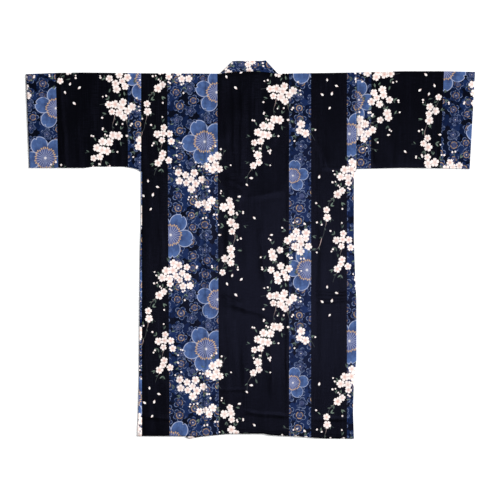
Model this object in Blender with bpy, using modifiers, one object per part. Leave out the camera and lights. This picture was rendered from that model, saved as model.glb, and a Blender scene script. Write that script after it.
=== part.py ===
"""Cotton yukata robe laid flat, face down, with its back up.

Each cut and sewn piece is one cloth shell: an open grid of points on the middle of the cloth, given
its thickness by a Solidify modifier. The outer front lies on the surface, the inner front laps over
it, and the back lies on both. Sleeves are flat tubes. Lengths below are in millimetres, +X to the
wearer's right, +Y to the collar, +Z up from the surface that the robe lies on.
"""
from collections import namedtuple

import bpy
import numpy as np

MM = 0.001

# Cloth and seams
CLOTH = 1.2                 # wall of every panel
BAND = 1.8                  # the collar band behind the neck: folded cloth, so thicker
SEAM_GAP = 0.3              # between two pieces that are sewn together
LAYER = CLOTH + SEAM_GAP    # from one layer of cloth to the next one up
FOLD_RADIUS = LAYER / 2     # of the cloth's middle where it turns under at a folded edge
FOLD_REACH = FOLD_RADIUS + CLOTH / 2
FOLD_STEPS = 6
FLOOR_LEVEL = CLOTH / 2     # middle of the cloth that lies on the surface
SECOND_LEVEL = FLOOR_LEVEL + LAYER

# Body, sizes across
ARMHOLE_LEFT = -319.4
ARMHOLE_RIGHT = 308.9
SIDE_SEAM_LEFT = -317.0     # the back's left edge; the front's rolled edge shows beyond it
NECK_CENTRE = -4.65
NECK_HALF = 85.85
NECK_LEFT = NECK_CENTRE - NECK_HALF
NECK_RIGHT = NECK_CENTRE + NECK_HALF
FRONT_OVERLAP = 183.65      # from the neck's centre line to either front's free edge
GORE_WIDTH = 150.0
BAND_WIDTH = 37.6
BAND_SLOPE = 0.476          # sideways run of the front bands for each millimetre down
BAND_LEVEL_WIDTH = BAND_WIDTH * np.hypot(1.0, BAND_SLOPE)   # of a slanting band, measured level
BAND_END = -8.6             # height at which the band reaches the free edge
OUTER_TURN = BAND_END + (FRONT_OVERLAP + NECK_HALF - BAND_WIDTH) / BAND_SLOPE
INNER_TURN = BAND_END + (FRONT_OVERLAP + NECK_HALF - BAND_LEVEL_WIDTH) / BAND_SLOPE
GORE_TOP = BAND_END + (GORE_WIDTH - BAND_LEVEL_WIDTH) / BAND_SLOPE

# Body, heights
UNDERARM = 234.0            # the armholes end here
SIDE_TURN = 227.0           # and the turned side edges start here
NECK_EDGE = 513.7           # the back's neck seam at its ends
NECK_ARCH = 7.0             # and how much higher it is at its middle

# Where the inner front and the back climb over the layer below
STEP_CLEAR = 6.0            # kept level this far beyond the layer below
STEP_RUN = 26.0
NECK_STEP_HIGH = 461.0      # above this the fronts do not overlap yet
NECK_STEP_LOW = 385.0
NECK_STEPS = (NECK_STEP_HIGH, (NECK_STEP_HIGH + NECK_STEP_LOW) / 2, NECK_STEP_LOW)

Point = namedtuple("Point", "x y")

BOX_MIDDLE = Point(0.0, 1.3)    # the part's origin, in the middle of its length and width

SHOULDER_LINE = (
    Point(-319.4, 516.3), Point(-90.5, 515.05), Point(81.2, 515.05), Point(308.9, 518.4),
)
BACK_HEM = (
    Point(-331.0, -543.1), Point(-135.8, -543.1), Point(-65.7, -536.4), Point(39.4, -536.1),
    Point(56.9, -540.2), Point(115.3, -543.1), Point(162.1, -546.0), Point(214.6, -550.1),
    Point(304.0, -550.7),
)
OUTER_FRONT_HEM = (
    Point(-331.4, -543.1), Point(-200.0, -540.5), Point(-65.7, -533.0), Point(39.4, -533.0),
    Point(183.0, -541.5),
)
INNER_FRONT_HEM = (
    Point(-188.3, -546.0), Point(-177.5, -551.0), Point(-135.8, -543.1), Point(-59.9, -534.0),
    Point(39.4, -534.0), Point(144.5, -541.4), Point(304.0, -548.0),
)
LEFT_SIDE = (
    Point(-331.2, -543.0), Point(-328.5, -487.6), Point(-325.6, -365.0), Point(-324.1, -146.0),
    Point(-322.7, -14.6), Point(-319.9, 73.0), Point(-319.3, 228.0),
)
RIGHT_SIDE = (
    Point(302.2, -550.4), Point(299.6, -473.0), Point(302.2, -379.6), Point(309.5, -321.2),
    Point(309.5, -146.0), Point(305.1, -58.4), Point(302.2, 29.2), Point(302.2, 204.4),
    Point(305.1, 234.0),
)
SLEEVE_TOP_LEFT = (
    Point(-655.5, 513.4), Point(-556.3, 517.4), Point(-486.2, 518.3), Point(-319.4, 516.3),
)
SLEEVE_FOOT_LEFT = (
    Point(-646.0, 239.4), Point(-486.2, 239.4), Point(-462.8, 243.3), Point(-369.4, 243.2),
    Point(-346.0, 239.4), Point(-329.0, 235.0), Point(-319.4, 228.2),
)
CUFF_LEFT = (Point(-645.4, 239.4), Point(-655.4, 513.4))
SLEEVE_TOP_RIGHT = (
    Point(308.9, 518.4), Point(436.5, 522.1), Point(553.3, 522.1), Point(655.5, 519.8),
)
SLEEVE_FOOT_RIGHT = (
    Point(308.9, 236.5), Point(436.5, 239.4), Point(553.3, 238.6), Point(640.0, 236.5),
)
CUFF_RIGHT = (Point(639.8, 236.5), Point(655.5, 519.8))
BAND_TOP = (
    Point(-52.6, 551.0), Point(-40.0, 551.9), Point(34.0, 551.7), Point(43.3, 553.6),
    Point(45.3, 551.9),
)

# A fold is a soft ridge along a straight line, highest at its middle and gone at its ends
Fold = namedtuple("Fold", "x0 y0 x1 y1 height reach")

BACK_FOLDS = (
    Fold(-129.0, 515.0, -129.0, -560.0, 1.3, 9.0),
    Fold(110.0, 300.0, 110.0, -560.0, 1.3, 9.0),
    Fold(-52.0, 505.0, -44.0, 230.0, 0.8, 9.0),
    Fold(-18.0, 500.0, -30.0, 190.0, 1.0, 9.0),
    Fold(8.0, 505.0, 2.0, 250.0, 0.8, 8.0),
    Fold(38.0, 505.0, 52.0, 330.0, 0.8, 9.0),
    Fold(70.0, 380.0, 96.0, 200.0, 1.2, 16.0),
    Fold(-318.0, 236.0, -258.0, 238.0, 0.9, 8.0),
    Fold(196.0, 238.0, 272.0, 234.0, 0.9, 8.0),
    Fold(-76.0, 208.0, -16.0, 178.0, 1.1, 9.0),
    Fold(-322.0, -142.0, -232.0, -144.0, 0.9, 8.0),
    Fold(-92.0, -128.0, 56.0, -182.0, 1.1, 10.0),
    Fold(172.0, -122.0, 298.0, -128.0, 1.0, 7.0),
    Fold(178.0, -148.0, 292.0, -151.0, 1.0, 7.0),
    Fold(-100.0, -406.0, -8.0, -411.0, 0.8, 8.0),
    Fold(-328.0, -488.0, -232.0, -491.0, 1.0, 7.0),
    Fold(-30.0, -476.0, 114.0, -487.0, 1.2, 8.0),
    Fold(172.0, -494.0, 294.0, -491.0, 1.0, 7.0),
)
LEFT_SLEEVE_FOLDS = (
    Fold(-560.0, 540.0, -550.0, 215.0, 1.3, 11.0),
    Fold(-430.0, 480.0, -446.0, 290.0, 0.8, 14.0),
)
RIGHT_SLEEVE_FOLDS = (
    Fold(536.0, 545.0, 544.0, 215.0, 1.3, 12.0),
    Fold(420.0, 330.0, 408.0, 225.0, 0.8, 12.0),
)

BODY_COLUMN_STEP = 36.0
BODY_ROW_STEP = 42.0
NARROWEST_CELL = 4.2

Dye = namedtuple("Dye", "red green blue")
PANEL_DYE = Dye(0.020, 0.026, 0.058)
BAND_DYE = Dye(0.040, 0.062, 0.160)
COTTON_ROUGHNESS = 0.88


def along(line, at):
    """Height of a line drawn through points, at a place across; turned lines swap x and y."""
    return np.interp(at, [p.x for p in line], [p.y for p in line])


def across(line, at):
    """Place across of a line drawn through points, at a height."""
    return np.interp(at, [p.y for p in line], [p.x for p in line])


def ramp(value, start, end):
    """0 before start, 1 past end and a smooth S between; start may be the larger of the two."""
    t = np.clip((np.asarray(value, dtype=float) - start) / (end - start), 0.0, 1.0)
    return t * t * (3.0 - 2.0 * t)


def folds_height(x, y, folds):
    """Height that the folds add at each point: the tallest ridge there."""
    height = np.zeros(np.broadcast(x, y).shape)
    for fold in folds:
        run = np.array((fold.x1 - fold.x0, fold.y1 - fold.y0))
        length = np.hypot(*run)
        t = ((x - fold.x0) * run[0] + (y - fold.y0) * run[1]) / length ** 2
        away = np.abs((x - fold.x0) * run[1] - (y - fold.y0) * run[0]) / length
        ends = ramp(t, 0.0, 0.2) * ramp(t, 1.0, 0.8)
        height = np.maximum(height, fold.height * ends * ramp(away, fold.reach, 0.0))
    return height


def stations(first, last, step, wanted):
    """Even places from first to last, with the wanted ones put in and near neighbours left out."""
    low, high = min(first, last), max(first, last)
    kept = [low, high]
    even = np.linspace(low, high, 1 + round((high - low) / step))
    for place in list(wanted) + list(even):
        if low < place < high and min(abs(place - other) for other in kept) >= NARROWEST_CELL:
            kept.append(place)
    kept.sort()
    return np.array(kept if first < last else kept[::-1])


def fold_columns(folds):
    """Places across at which upright folds start, peak and end."""
    places = []
    for fold in folds:
        if abs(fold.y1 - fold.y0) > abs(fold.x1 - fold.x0):
            middle = (fold.x0 + fold.x1) / 2
            places += [middle, middle - fold.reach, middle + fold.reach]
    return places


def fold_rows(folds):
    """Heights at which level folds start, peak and end."""
    places = []
    for fold in folds:
        if abs(fold.y1 - fold.y0) <= abs(fold.x1 - fold.x0):
            middle = (fold.y0 + fold.y1) / 2
            places += [middle, middle - fold.reach, middle + fold.reach]
    return places


def inner_front_level(x, y):
    """Middle of the inner front's cloth: on the surface at its side, over the outer front inside."""
    edge = NECK_CENTRE + FRONT_OVERLAP + STEP_CLEAR
    return FLOOR_LEVEL + LAYER * ramp(x, edge + STEP_RUN, edge) * ramp(y, NECK_STEP_HIGH, NECK_STEP_LOW)


def back_level(x, y):
    """Middle of the back's cloth over one layer, or over two where the fronts overlap."""
    left = NECK_CENTRE - FRONT_OVERLAP - STEP_CLEAR
    right = NECK_CENTRE + FRONT_OVERLAP + STEP_CLEAR
    over_both = ramp(x, left - STEP_RUN, left) * ramp(x, right + STEP_RUN, right)
    return SECOND_LEVEL + LAYER * over_both * ramp(y, NECK_STEP_HIGH, NECK_STEP_LOW)


def band_edge(y, side, inner):
    """Place across of a front band's edge at a height: upright at the neck, then slanting."""
    half = NECK_HALF if inner else NECK_HALF - BAND_WIDTH
    level_width = BAND_LEVEL_WIDTH if inner else 0.0
    reach = FRONT_OVERLAP - level_width - BAND_SLOPE * (np.asarray(y, dtype=float) - BAND_END)
    return NECK_CENTRE + side * np.maximum(-half, reach)


def neck_line(x):
    """The back's neck seam, a shallow arch."""
    across_neck = (np.asarray(x, dtype=float) - NECK_CENTRE) / NECK_HALF
    return NECK_EDGE + NECK_ARCH * (1.0 - across_neck ** 2)


def turn_under(count=FOLD_STEPS):
    """Reach and rise of the points inside a half turn, from the upper layer down to the lower."""
    angles = np.pi * np.arange(1, count) / count
    return FOLD_RADIUS * np.sin(angles), FOLD_RADIUS * np.cos(angles)


def material(name, dye):
    made = bpy.data.materials.new(name)
    made.use_nodes = True
    shader = made.node_tree.nodes["Principled BSDF"]
    shader.inputs["Base Color"].default_value = (dye.red, dye.green, dye.blue, 1.0)
    shader.inputs["Roughness"].default_value = COTTON_ROUGHNESS
    shader.inputs["Metallic"].default_value = 0.0
    return made


def cloth(name, x, y, z, cells=None, wall=CLOTH, dye=PANEL_DYE):
    """A cloth shell on a grid of middle points, [row, column], through the cells marked True.

    Rows run down from the collar and columns to +X, so the cells' faces look up.
    """
    x, y, z = np.broadcast_arrays(x, y, z)
    rows, columns = x.shape
    cells = np.ones((rows - 1, columns - 1), dtype=bool) if cells is None else cells
    index = np.arange(rows * columns).reshape(rows, columns)
    quads = np.stack((index[1:, :-1], index[1:, 1:], index[:-1, 1:], index[:-1, :-1]), axis=-1)[cells]
    used, corners = np.unique(quads, return_inverse=True)
    points = np.stack((x - BOX_MIDDLE.x, y - BOX_MIDDLE.y, z), axis=-1).reshape(-1, 3)[used] * MM
    mesh = bpy.data.meshes.new(name)
    mesh.from_pydata(points.tolist(), [], corners.reshape(-1, 4).tolist())
    mesh.shade_smooth()
    piece = bpy.data.objects.new(name, mesh)
    wall_maker = piece.modifiers.new("wall", "SOLIDIFY")
    wall_maker.thickness = wall * MM
    wall_maker.offset = 0.0
    wall_maker.use_even_offset = True
    wall_maker.use_quality_normals = True
    mesh.materials.append(material(name + "_cotton", dye))
    garment.objects.link(piece)
    return piece


def back():
    """The back, with its folds, turned under at the shoulders and down the right side."""
    step_left = NECK_CENTRE - FRONT_OVERLAP - STEP_CLEAR
    step_right = NECK_CENTRE + FRONT_OVERLAP + STEP_CLEAR
    steps = (step_left, step_left - STEP_RUN / 2, step_left - STEP_RUN,
             step_right, step_right + STEP_RUN / 2, step_right + STEP_RUN)
    flat_x = stations(ARMHOLE_LEFT, ARMHOLE_RIGHT, BODY_COLUMN_STEP,
                      [NECK_LEFT, NECK_RIGHT, *steps, *fold_columns(BACK_FOLDS)])
    flat_y = stations(along(SHOULDER_LINE, NECK_CENTRE), along(BACK_HEM, 0.0), BODY_ROW_STEP,
                      [*NECK_STEPS, UNDERARM, SIDE_TURN, *(p.y for p in RIGHT_SIDE[1:-1]),
                       *fold_rows(BACK_FOLDS)])
    reach, rise = turn_under()
    turned = len(reach) + 1
    under = flat_y <= SIDE_TURN
    on_shoulder = (flat_x <= NECK_LEFT) | (flat_x >= NECK_RIGHT)

    x = np.tile(flat_x, (len(flat_y), 1))
    x[:, 0] = np.where(under, SIDE_SEAM_LEFT, ARMHOLE_LEFT) + SEAM_GAP / 2
    right_edge = across(RIGHT_SIDE, flat_y) - FOLD_REACH
    x[:, -1] = np.where(under, right_edge, ARMHOLE_RIGHT - SEAM_GAP / 2)
    y = np.tile(flat_y[:, None], (1, len(flat_x)))
    y[0] = np.where(on_shoulder, along(SHOULDER_LINE, x[0]) - FOLD_REACH, neck_line(x[0]))
    y[-1] = along(BACK_HEM, x[-1])
    fade = ramp(x - x[:, :1], 0.0, 14.0) * ramp(x[:, -1:] - x, 0.0, 14.0) * ramp(y[:1] - y, 0.0, 12.0)
    z = back_level(x, y) + folds_height(x, y, BACK_FOLDS) * fade

    # The turned edge at the shoulders comes as rows above the flat ones
    beside_neck = SEAM_GAP * ((flat_x == NECK_RIGHT) * 1.0 - (flat_x == NECK_LEFT))
    shoulder_x = np.tile(x[0] + beside_neck, (turned, 1))
    shoulder_y = y[0] + np.append(0.0, reach[::-1])[:, None]
    shoulder_z = SECOND_LEVEL - FOLD_RADIUS + np.append(-FOLD_RADIUS, rise[::-1])[:, None]
    shoulder_z = np.tile(shoulder_z, (1, len(flat_x)))
    x = np.vstack((shoulder_x, x))
    y = np.vstack((shoulder_y, y))
    z = np.vstack((shoulder_z, z))

    # And the one down the right side as columns past the last flat one
    side_x = x[:, -1:] + np.append(reach, 0.0)
    side_z = np.tile(SECOND_LEVEL - FOLD_RADIUS + np.append(rise, -FOLD_RADIUS), (len(x), 1))
    x = np.hstack((x, side_x))
    y = np.hstack((y, np.tile(y[:, -1:], (1, turned))))
    z = np.hstack((z, side_z))

    cells = np.ones((len(x) - 1, x.shape[1] - 1), dtype=bool)
    cells[:turned, :len(flat_x) - 1] = on_shoulder[:-1] & on_shoulder[1:]
    cells[:, len(flat_x) - 1:] = False
    cells[turned:, len(flat_x) - 1:] = (under[:-1] & under[1:])[:, None]
    cloth("back", x, y, z, cells)


def front_left():
    """The outer front, flat on the surface; its side edge rolls up and over to the back's seam."""
    seam = NECK_CENTRE + FRONT_OVERLAP - GORE_WIDTH
    top = along(SHOULDER_LINE, -200.0) - FOLD_REACH - SEAM_GAP
    flat_y = stations(top, along(OUTER_FRONT_HEM, 0.0), 3 * BODY_ROW_STEP,
                      [INNER_TURN, GORE_TOP, UNDERARM, SIDE_TURN, *(p.y for p in LEFT_SIDE[1:-1])])
    under = flat_y <= SIDE_TURN
    edge = np.where(under, across(LEFT_SIDE, flat_y) + FOLD_REACH, ARMHOLE_LEFT + SEAM_GAP / 2)
    inside = np.minimum(band_edge(flat_y, 1, True) - SEAM_GAP, seam - SEAM_GAP / 2)
    part_way = np.array((0.0, 0.2, 0.45, 0.7, 1.0))
    flat = edge[:, None] + (inside - edge)[:, None] * part_way
    reach, rise = turn_under()
    seam_end = np.full(len(flat_y), SIDE_SEAM_LEFT - SEAM_GAP / 2)
    start = np.minimum(edge, seam_end - 0.05)
    x = np.hstack((seam_end[:, None], start[:, None], edge[:, None] - reach, flat))
    level = np.hstack((SECOND_LEVEL, SECOND_LEVEL, SECOND_LEVEL - FOLD_RADIUS + rise,
                       np.full(len(part_way), FLOOR_LEVEL)))
    y = np.tile(flat_y[:, None], (1, x.shape[1]))
    y[0] = along(SHOULDER_LINE, x[0]) - FOLD_REACH - SEAM_GAP
    y[-1] = along(OUTER_FRONT_HEM, x[-1])
    cells = np.ones((len(flat_y) - 1, x.shape[1] - 1), dtype=bool)
    cells[:, :2 + len(reach)] = (under[:-1] & under[1:])[:, None]
    cloth("front_left", x, y, np.tile(level, (len(flat_y), 1)), cells)


def front_right():
    """The inner front, from the right side's turned edge in over the outer front."""
    seam = NECK_CENTRE - FRONT_OVERLAP + GORE_WIDTH
    step = NECK_CENTRE + FRONT_OVERLAP + STEP_CLEAR
    top = along(SHOULDER_LINE, 200.0) - FOLD_REACH - SEAM_GAP
    flat_y = stations(top, along(INNER_FRONT_HEM, 0.0), 2.5 * BODY_ROW_STEP,
                      [INNER_TURN, GORE_TOP, UNDERARM, SIDE_TURN, *NECK_STEPS,
                       *(p.y for p in RIGHT_SIDE[1:-1])])
    inside = np.maximum(band_edge(flat_y, -1, True) + SEAM_GAP, seam + SEAM_GAP / 2)
    edge = np.where(flat_y <= SIDE_TURN, across(RIGHT_SIDE, flat_y) - FOLD_REACH, ARMHOLE_RIGHT)
    edge = edge - np.where(flat_y <= SIDE_TURN, SEAM_GAP, SEAM_GAP / 2)
    steps = np.array((0.3, 0.65, 1.0))
    inner = inside[:, None] + (step - inside)[:, None] * np.append(0.0, steps)
    outer = np.tile((step + STEP_RUN / 2, step + STEP_RUN), (len(flat_y), 1))
    x = np.hstack((inner, outer, edge[:, None]))
    y = np.tile(flat_y[:, None], (1, x.shape[1]))
    y[0] = along(SHOULDER_LINE, x[0]) - FOLD_REACH - SEAM_GAP
    y[-1] = along(INNER_FRONT_HEM, x[-1])
    cloth("front_right", x, y, inner_front_level(x, y))


def gore(name, side, hem, level):
    """A front's overlap gore: from the seam out to the free edge, slanted under the band."""
    hem_corners = [side * (p.x - NECK_CENTRE) for p in hem]
    columns = stations(FRONT_OVERLAP - GORE_WIDTH + SEAM_GAP / 2, FRONT_OVERLAP, GORE_WIDTH / 3,
                       [FRONT_OVERLAP - BAND_LEVEL_WIDTH, *hem_corners])
    x = NECK_CENTRE + side * columns
    under_band = BAND_END + (FRONT_OVERLAP - BAND_LEVEL_WIDTH - columns) / BAND_SLOPE - 2 * SEAM_GAP
    top = np.maximum(under_band, BAND_END - SEAM_GAP)
    down = (0.0, 0.3, 0.65, 1.0)
    foot = along(hem, x)
    y = top + (foot - top) * np.array(down)[:, None]
    x = np.tile(x, (len(down), 1))
    if side < 0:
        x, y = x[:, ::-1], y[:, ::-1]
    cloth(name, x, y, level(x, y))


def band_front(name, side, level):
    """The collar band's run down a front, from the 45 degree fold at the neck to the free edge."""
    flat_y = stations(NECK_EDGE, BAND_END, 4 * BODY_ROW_STEP, [OUTER_TURN, INNER_TURN, *NECK_STEPS])
    inner = band_edge(flat_y, side, True)
    outer = band_edge(flat_y, side, False)
    x = inner[:, None] + (outer - inner)[:, None] * np.array((0.0, 0.5, 1.0))
    y = np.tile(flat_y[:, None], (1, 3))
    y[0] = NECK_EDGE + np.array((0.0, 0.5, 1.0)) * BAND_WIDTH - SEAM_GAP
    if side < 0:
        x, y = x[:, ::-1], y[:, ::-1]
    cloth(name, x, y, level(x, y), dye=BAND_DYE)


def band_neck():
    """The collar band behind the neck, with its 45 degree ends folded onto the front runs."""
    share = np.linspace(0.0, 1.0, 13)
    foot_x = NECK_LEFT + SEAM_GAP + share * (2 * NECK_HALF - 2 * SEAM_GAP)
    foot_y = neck_line(foot_x) + SEAM_GAP
    top_x = BAND_TOP[0].x + share * (BAND_TOP[-1].x - BAND_TOP[0].x)
    top_x[-2] = BAND_TOP[-2].x
    top_y = along(BAND_TOP, top_x)
    up = np.array((1.0, 0.66, 0.33, 0.0))[:, None]
    level = SECOND_LEVEL + (BAND - CLOTH) / 2
    cloth("collar_neck", foot_x + (top_x - foot_x) * up, foot_y + (top_y - foot_y) * up, level,
          wall=BAND, dye=BAND_DYE)


def sleeve(name, armhole, cuff, top, foot, folds):
    """A sleeve: one cloth round from an underneath seam, over the top fold and under at the foot."""
    seam_inside = 12.0
    end = across(cuff, np.mean([p.y for p in cuff]))
    toward_body = 1.0 if armhole > end else -1.0
    lines = [p.x for p in foot if min(armhole, end) + 12 < p.x < max(armhole, end) - 12]
    flat_x = stations(min(armhole, end), max(armhole, end), 1.4 * BODY_COLUMN_STEP,
                      [*fold_columns(folds), *lines])
    high = along(top, flat_x) - FOLD_REACH
    low = along(foot, flat_x) + FOLD_REACH
    part_way = np.linspace(0.0, 1.0, 8)[:, None]
    upper_y = high + (low - high) * part_way
    reach, rise = turn_under()
    turn_z = SECOND_LEVEL - FOLD_RADIUS + rise
    y = np.vstack((low + seam_inside + SEAM_GAP, (low + high) / 2, high, high + reach[::-1][:, None],
                   upper_y, low - reach[:, None], low, low + seam_inside))
    fade = ramp(part_way, 0.0, 0.05) * ramp(part_way, 1.0, 0.95)
    fade = fade * ramp(abs(flat_x - armhole), 0.0, 14.0)
    upper_z = SECOND_LEVEL + folds_height(flat_x, upper_y, folds) * fade
    lower = np.full((3, len(flat_x)), FLOOR_LEVEL)
    round_top = np.tile(turn_z[::-1][:, None], (1, len(flat_x)))
    round_foot = np.tile(turn_z[:, None], (1, len(flat_x)))
    z = np.vstack((lower, round_top, upper_z, round_foot, lower[:2]))
    x = np.tile(flat_x, (len(y), 1))
    cuff_column = 0 if toward_body > 0 else -1
    body_column = -1 if toward_body > 0 else 0
    x[:, cuff_column] = across(cuff, y[:, cuff_column])
    x[:, body_column] = armhole - toward_body * SEAM_GAP / 2
    cloth(name, x, y, z)


def on_surface(x, y):
    """Middle of a cloth that lies flat on the surface."""
    return np.full(np.broadcast(x, y).shape, FLOOR_LEVEL)


for leftover in list(bpy.data.objects):
    bpy.data.objects.remove(leftover)
garment = bpy.data.collections.new("cotton_yukata_robe")
bpy.context.scene.collection.children.link(garment)

back()
front_left()
front_right()
gore("okumi_left", 1, OUTER_FRONT_HEM, on_surface)
gore("okumi_right", -1, INNER_FRONT_HEM, inner_front_level)
sleeve("sleeve_left", ARMHOLE_LEFT, CUFF_LEFT, SLEEVE_TOP_LEFT, SLEEVE_FOOT_LEFT, LEFT_SLEEVE_FOLDS)
sleeve("sleeve_right", ARMHOLE_RIGHT, CUFF_RIGHT, SLEEVE_TOP_RIGHT, SLEEVE_FOOT_RIGHT, RIGHT_SLEEVE_FOLDS)
band_neck()
band_front("collar_left", 1, on_surface)
band_front("collar_right", -1, inner_front_level)
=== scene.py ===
"""Cotton yukata robe laid flat with its back up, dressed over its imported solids.

Each cut piece of cloth is a thin shell on a grid of points. A point also carries its place on the
cloth before it was sewn, so the printed stripes, blossoms and weave run over folds as they do on
cotton. Lengths in the tables are millimetres: +X to the wearer's right, +Y to the collar, +Z up.
"""
from collections import namedtuple
from functools import lru_cache

import bpy
import numpy as np
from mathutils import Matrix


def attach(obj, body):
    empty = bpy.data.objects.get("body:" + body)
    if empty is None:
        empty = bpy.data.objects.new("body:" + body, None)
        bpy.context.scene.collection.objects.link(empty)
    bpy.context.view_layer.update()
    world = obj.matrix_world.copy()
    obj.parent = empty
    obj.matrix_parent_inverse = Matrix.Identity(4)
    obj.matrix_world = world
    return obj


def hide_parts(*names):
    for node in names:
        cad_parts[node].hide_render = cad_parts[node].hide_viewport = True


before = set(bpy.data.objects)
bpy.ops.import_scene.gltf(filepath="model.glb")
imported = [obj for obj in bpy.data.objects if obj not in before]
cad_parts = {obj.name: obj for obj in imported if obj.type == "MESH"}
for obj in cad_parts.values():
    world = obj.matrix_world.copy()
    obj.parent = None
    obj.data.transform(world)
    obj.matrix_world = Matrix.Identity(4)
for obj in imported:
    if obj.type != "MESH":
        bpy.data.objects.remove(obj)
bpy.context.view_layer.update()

bl_info = {
    "name": "Cotton yukata robe",
    "version": (1, 0, 0),
    "blender": (4, 5, 0),
    "location": "3D View > Sidebar > Robe",
    "description": "Lays out a printed cotton robe, one operator for each cut piece of cloth",
    "category": "Add Mesh",
}

MM = 0.001

# The robe's cut, as in its solids
CLOTH_LAYER = 1.5           # from the middle of one layer of cloth to the next
SEAM_GAP = 0.3
FOLD_RADIUS = CLOTH_LAYER / 2
FOLD_REACH = 1.35           # from a folded edge to the last flat point of the cloth's middle
FOLD_STEPS = 8
FLOOR_LEVEL = 0.6
SECOND_LEVEL = FLOOR_LEVEL + CLOTH_LAYER
ARMHOLE_LEFT = -319.4
ARMHOLE_RIGHT = 308.9
SIDE_SEAM_LEFT = -317.0
NECK_CENTRE = -4.65
NECK_HALF = 85.85
NECK_LEFT = NECK_CENTRE - NECK_HALF
NECK_RIGHT = NECK_CENTRE + NECK_HALF
FRONT_OVERLAP = 183.65
GORE_WIDTH = 150.0
BAND_WIDTH = 37.6
BAND_SLOPE = 0.476
BAND_LEVEL_WIDTH = BAND_WIDTH * np.hypot(1.0, BAND_SLOPE)
BAND_END = -8.6
OUTER_TURN = BAND_END + (FRONT_OVERLAP + NECK_HALF - BAND_WIDTH) / BAND_SLOPE
INNER_TURN = BAND_END + (FRONT_OVERLAP + NECK_HALF - BAND_LEVEL_WIDTH) / BAND_SLOPE
UNDERARM = 234.0
SIDE_TURN = 227.0
NECK_EDGE = 513.7
NECK_ARCH = 7.0
STEP_CLEAR = 6.0
STEP_RUN = 26.0
NECK_STEP_HIGH = 461.0
NECK_STEP_LOW = 385.0
SLEEVE_SEAM = 12.0

Point = namedtuple("Point", "x y")

BOX_MIDDLE = Point(0.0, 1.3)

SHOULDER_LINE = (
    Point(-319.4, 516.3), Point(-90.5, 515.05), Point(81.2, 515.05), Point(308.9, 518.4),
)
BACK_HEM = (
    Point(-331, -543.1), Point(-135.8, -543.1), Point(-65.7, -536.4), Point(39.4, -536.1),
    Point(56.9, -540.2), Point(115.3, -543.1), Point(162.1, -546), Point(214.6, -550.1),
    Point(304, -550.7),
)
OUTER_FRONT_HEM = (
    Point(-331.4, -543.1), Point(-200, -540.5), Point(-65.7, -533), Point(39.4, -533),
    Point(183, -541.5),
)
INNER_FRONT_HEM = (
    Point(-188.3, -546), Point(-177.5, -551), Point(-135.8, -543.1), Point(-59.9, -534),
    Point(39.4, -534), Point(144.5, -541.4), Point(304, -548),
)
LEFT_SIDE = (
    Point(-331.2, -543), Point(-328.5, -487.6), Point(-325.6, -365), Point(-324.1, -146),
    Point(-322.7, -14.6), Point(-319.9, 73), Point(-319.3, 228),
)
RIGHT_SIDE = (
    Point(302.2, -550.4), Point(299.6, -473), Point(302.2, -379.6), Point(309.5, -321.2),
    Point(309.5, -146), Point(305.1, -58.4), Point(302.2, 29.2), Point(302.2, 204.4),
    Point(305.1, 234),
)
SLEEVE_TOP_LEFT = (
    Point(-655.5, 513.4), Point(-556.3, 517.4), Point(-486.2, 518.3), Point(-319.4, 516.3),
)
SLEEVE_FOOT_LEFT = (
    Point(-646, 239.4), Point(-486.2, 239.4), Point(-462.8, 243.3), Point(-369.4, 243.2),
    Point(-346, 239.4), Point(-329, 235), Point(-319.4, 228.2),
)
CUFF_LEFT = (Point(-645.4, 239.4), Point(-655.4, 513.4))
SLEEVE_TOP_RIGHT = (
    Point(308.9, 518.4), Point(436.5, 522.1), Point(553.3, 522.1), Point(655.5, 519.8),
)
SLEEVE_FOOT_RIGHT = (
    Point(308.9, 236.5), Point(436.5, 239.4), Point(553.3, 238.6), Point(640, 236.5),
)
CUFF_RIGHT = (Point(639.8, 236.5), Point(655.5, 519.8))
BAND_TOP = (
    Point(-52.6, 551), Point(-40, 551.9), Point(34, 551.7), Point(43.3, 553.6),
    Point(45.3, 551.9),
)

# A fold is a ridge pressed into the cloth: highest at its middle, gone at its ends. Its two sides
# may differ: before is its reach to the left or below, after its reach to the right or above.
Fold = namedtuple("Fold", "x0 y0 x1 y1 height before after")

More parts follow.
